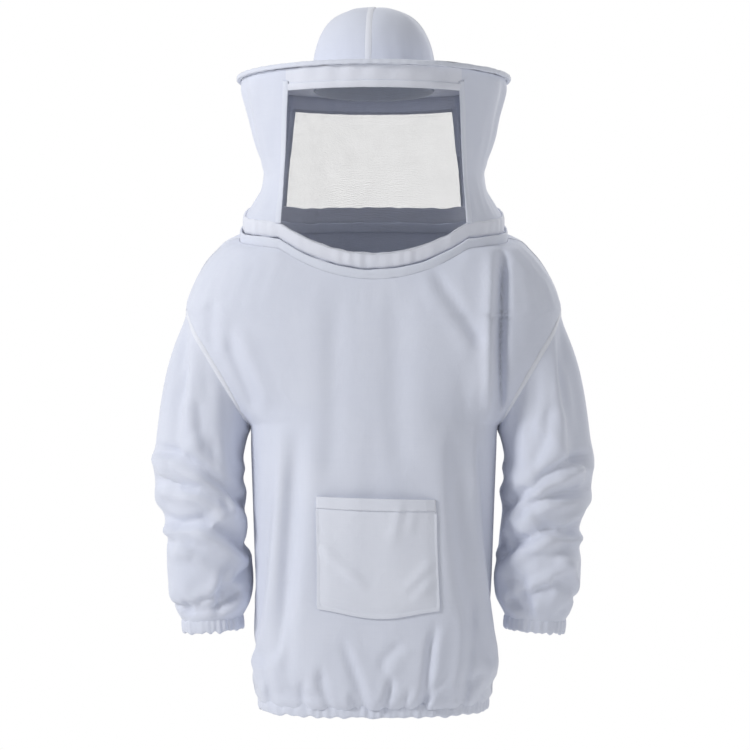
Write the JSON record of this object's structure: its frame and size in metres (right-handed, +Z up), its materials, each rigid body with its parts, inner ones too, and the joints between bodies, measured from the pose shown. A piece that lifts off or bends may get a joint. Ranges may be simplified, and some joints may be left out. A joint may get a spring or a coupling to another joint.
{
  "type": "beekeeping smock",
  "caption": "Pullover beekeeping smock with a sewn-on round-brimmed hat, a netting veil, elastic cuffs and hem, and a front patch pocket.",
  "frame": {"origin": "centre of the neck opening, where the wearer's neck passes through", "axes": "+Z up, the front faces -Y, the wearer's left side is +X"},
  "size_m": [0.6972, 0.4272, 1.0888],
  "materials": {
    "smock_cloth": "matt thin poly-cotton weave",
    "binding_cloth": "matt doubled poly-cotton weave",
    "netting": "fine black open net",
    "elastic": "braided elastic",
    "stiffener": "stiff interlining",
    "sweatband": "folded cotton band",
    "wire": "sprung steel"
  },
  "bodies": {
    "smock": {"back_panel": "smock_cloth", "front_panel": "smock_cloth", "hem_casing": "binding_cloth", "hem_elastic": "elastic", "neck_binding": "binding_cloth", "pocket_hem": "binding_cloth", "pocket_patch": "binding_cloth", "veil_neck_band": "binding_cloth"},
    "hat": {"brim_stiffener": "stiffener", "brim_top_cover": "smock_cloth", "brim_under_cover": "smock_cloth", "crown_gore_back_left": "smock_cloth", "crown_gore_back_right": "smock_cloth", "crown_gore_front_left": "smock_cloth", "crown_gore_front_right": "smock_cloth", "crown_seam_tape": "binding_cloth", "net_binding_back": "binding_cloth", "net_binding_front": "binding_cloth", "rim_piping": "binding_cloth", "rim_wire": "wire", "sweatband": "sweatband", "veil_net_back": "netting", "veil_net_front": "netting", "veil_side_left": "smock_cloth", "veil_side_right": "smock_cloth", "veil_top_band_back": "smock_cloth", "veil_top_band_front": "smock_cloth"},
    "left_upper_arm": {"left_sleeve_upper": "smock_cloth"},
    "left_forearm": {"left_sleeve_lower": "smock_cloth", "left_cuff_casing": "binding_cloth", "left_cuff_elastic": "elastic"},
    "right_upper_arm": {"right_sleeve_upper": "smock_cloth"},
    "right_forearm": {"right_sleeve_lower": "smock_cloth", "right_cuff_casing": "binding_cloth", "right_cuff_elastic": "elastic"}
  },
  "joints": [
    {"name": "hat_nod", "type": "hinge", "parent": "smock", "child": "hat", "pos_m": [0, 0.005, 0.03], "axis": [1, 0, 0], "range_deg": [-10, 10]},
    {"name": "left_arm_raise", "type": "hinge", "parent": "smock", "child": "left_upper_arm", "pos_m": [0.29, 0, -0.12], "axis": [0, -1, 0], "range_deg": [0, 60]},
    {"name": "left_elbow_bend", "type": "hinge", "parent": "left_upper_arm", "child": "left_forearm", "pos_m": [0.27, 0, -0.365], "axis": [-1, 0, 0], "range_deg": [0, 70]},
    {"name": "right_arm_raise", "type": "hinge", "parent": "smock", "child": "right_upper_arm", "pos_m": [-0.29, 0, -0.12], "axis": [0, 1, 0], "range_deg": [0, 60]},
    {"name": "right_elbow_bend", "type": "hinge", "parent": "right_upper_arm", "child": "right_forearm", "pos_m": [-0.27, 0, -0.365], "axis": [-1, 0, 0], "range_deg": [0, 70]}
  ]
}
